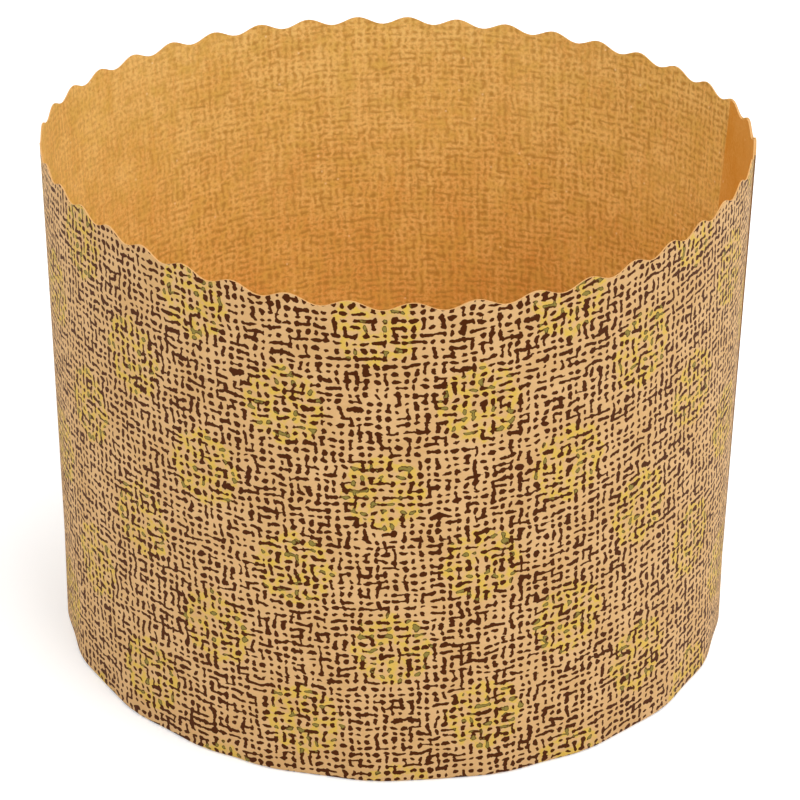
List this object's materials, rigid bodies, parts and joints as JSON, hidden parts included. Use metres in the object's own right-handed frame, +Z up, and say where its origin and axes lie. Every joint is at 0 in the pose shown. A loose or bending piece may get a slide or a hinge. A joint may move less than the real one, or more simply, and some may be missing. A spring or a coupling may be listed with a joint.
{
  "type": "panettone paper mold",
  "caption": "Tall round paper baking mould with a scalloped rim, a glued lap in its slightly tapering wall and a flat base disc.",
  "frame": {"origin": "centre of the footprint, on the surface that the mould stands on", "axes": "+Z up through the open rim, -Y towards the front, +X towards the glued lap"},
  "size_m": [0.135, 0.1456, 0.0984],
  "materials": {
    "printed_paper": "tan baking paper, printed outside with a dark brown woven sacking pattern and small yellow rosettes, amber inside, faint sheen",
    "plain_paper": "plain amber baking paper, faint fibre grain, matte"
  },
  "bodies": {
    "root": {"side_wall": "printed_paper", "base_disc": "plain_paper"}
  },
  "joints": []
}
